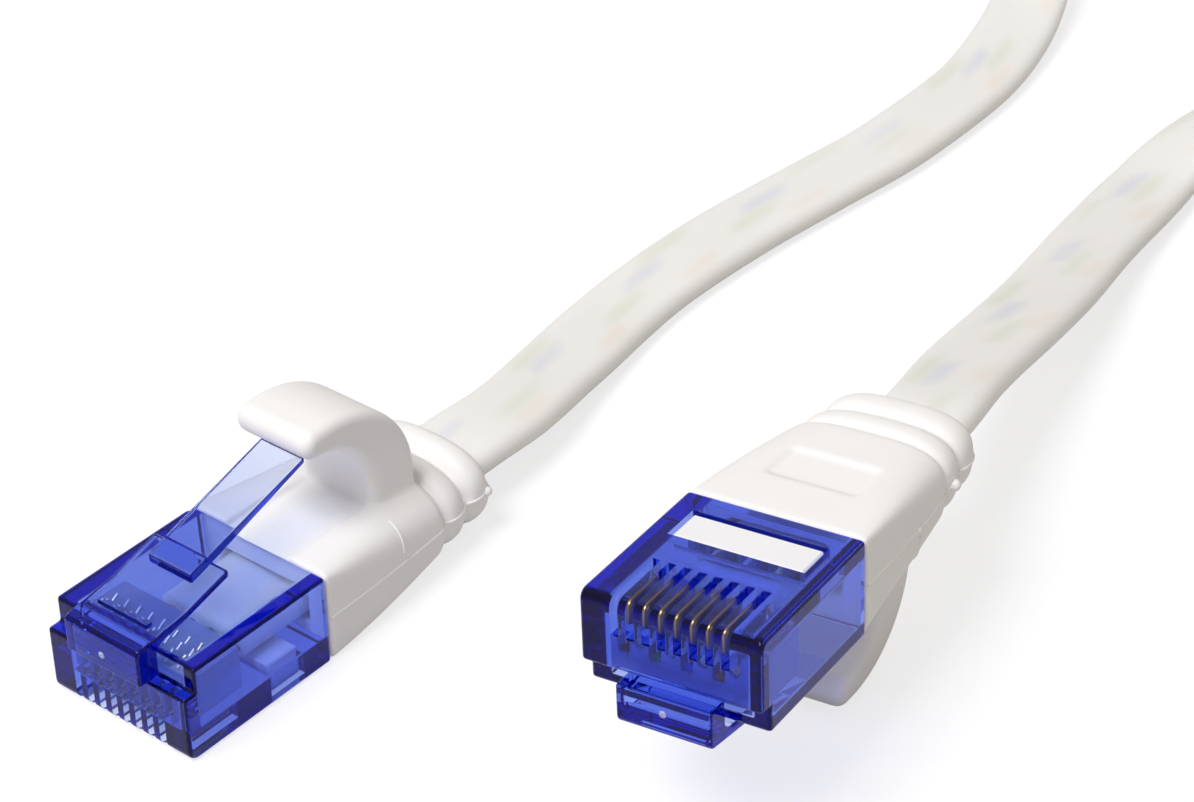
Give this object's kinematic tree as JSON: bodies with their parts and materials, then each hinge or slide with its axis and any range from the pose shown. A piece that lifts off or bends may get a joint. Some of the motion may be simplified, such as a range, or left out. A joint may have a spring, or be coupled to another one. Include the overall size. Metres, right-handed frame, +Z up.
{
  "type": "ethernet patch cable",
  "caption": "Flat white ethernet patch cable with a clear blue modular plug at each end, each plug in a white boot whose hood guards and presses the latch; spare length coiled.",
  "frame": {"origin": "centre of the flat land between the contact slots and the clamp window, on the contact face of plug A, which lies on the table", "axes": "+X across plug A, +Y from plug A's nose towards its cable, +Z up from the table"},
  "size_m": [0.0688, 0.1904, 0.0159],
  "materials": {
    "blue_polycarbonate": "transparent blue moulded plastic, glossy",
    "clear_polycarbonate": "clear moulded plastic, glossy",
    "white_nylon": "plain white moulded plastic",
    "white_elastomer": "matt white moulded elastomer",
    "gold_contact": "gold plate",
    "white_soft_pvc": "satin white extruded jacket",
    "grey_strap": "woven strap",
    "wire_1": "coloured insulation",
    "wire_2": "coloured insulation",
    "wire_3": "coloured insulation",
    "wire_4": "coloured insulation",
    "wire_5": "coloured insulation",
    "wire_6": "coloured insulation",
    "wire_7": "coloured insulation",
    "wire_8": "coloured insulation"
  },
  "bodies": {
    "cable_assembly": {"housing_a": "blue_polycarbonate", "load_bar_a": "clear_polycarbonate", "clamp_bar_a": "white_nylon", "boot_a": "white_elastomer", "contact_a_1": "gold_contact", "contact_a_2": "gold_contact", "contact_a_3": "gold_contact", "contact_a_4": "gold_contact", "contact_a_5": "gold_contact", "contact_a_6": "gold_contact", "contact_a_7": "gold_contact", "contact_a_8": "gold_contact", "wire_a_1": "wire_1", "wire_a_2": "wire_2", "wire_a_3": "wire_3", "wire_a_4": "wire_4", "wire_a_5": "wire_5", "wire_a_6": "wire_6", "wire_a_7": "wire_7", "wire_a_8": "wire_8", "housing_b": "blue_polycarbonate", "load_bar_b": "clear_polycarbonate", "clamp_bar_b": "white_nylon", "boot_b": "white_elastomer", "contact_b_1": "gold_contact", "contact_b_2": "gold_contact", "contact_b_3": "gold_contact", "contact_b_4": "gold_contact", "contact_b_5": "gold_contact", "contact_b_6": "gold_contact", "contact_b_7": "gold_contact", "contact_b_8": "gold_contact", "wire_b_1": "wire_1", "wire_b_2": "wire_2", "wire_b_3": "wire_3", "wire_b_4": "wire_4", "wire_b_5": "wire_5", "wire_b_6": "wire_6", "wire_b_7": "wire_7", "wire_b_8": "wire_8", "cable_run_a": "white_soft_pvc", "cable_coil": "white_soft_pvc", "cable_run_b": "white_soft_pvc", "cable_tie": "grey_strap"},
    "hood_a": {"hood_a": "white_elastomer"},
    "latch_a": {"latch_a": "blue_polycarbonate"},
    "hood_b": {"hood_b": "white_elastomer"},
    "latch_b": {"latch_b": "blue_polycarbonate"}
  },
  "joints": [
    {"name": "hood_a_press", "type": "hinge", "parent": "cable_assembly", "child": "hood_a", "pos_m": [0, 0.01547, 0.0071], "axis": [1, 0, 0], "range_deg": [0, 20], "stiffness_Nm_per_rad": 0.04},
    {"name": "latch_a_flex", "type": "hinge", "parent": "cable_assembly", "child": "latch_a", "pos_m": [0, -0.00588, 0.0056], "axis": [-1, 0, 0], "range_deg": [0, 9], "stiffness_Nm_per_rad": 0.02},
    {"name": "hood_b_press", "type": "hinge", "parent": "cable_assembly", "child": "hood_b", "pos_m": [0.02947, 0.02756, 0.0071], "axis": [-0.9892, -0.1342, -0.0592], "range_deg": [0, 20], "stiffness_Nm_per_rad": 0.04},
    {"name": "latch_b_flex", "type": "hinge", "parent": "cable_assembly", "child": "latch_b", "pos_m": [0.03214, 0.00652, 0.01001], "axis": [0.9892, 0.1342, 0.0592], "range_deg": [0, 9], "stiffness_Nm_per_rad": 0.02}
  ],
  "couplings": [
    {"joint": "latch_a_flex", "follows": "hood_a_press", "ratio": 0.45},
    {"joint": "latch_b_flex", "follows": "hood_b_press", "ratio": 0.45}
  ]
}
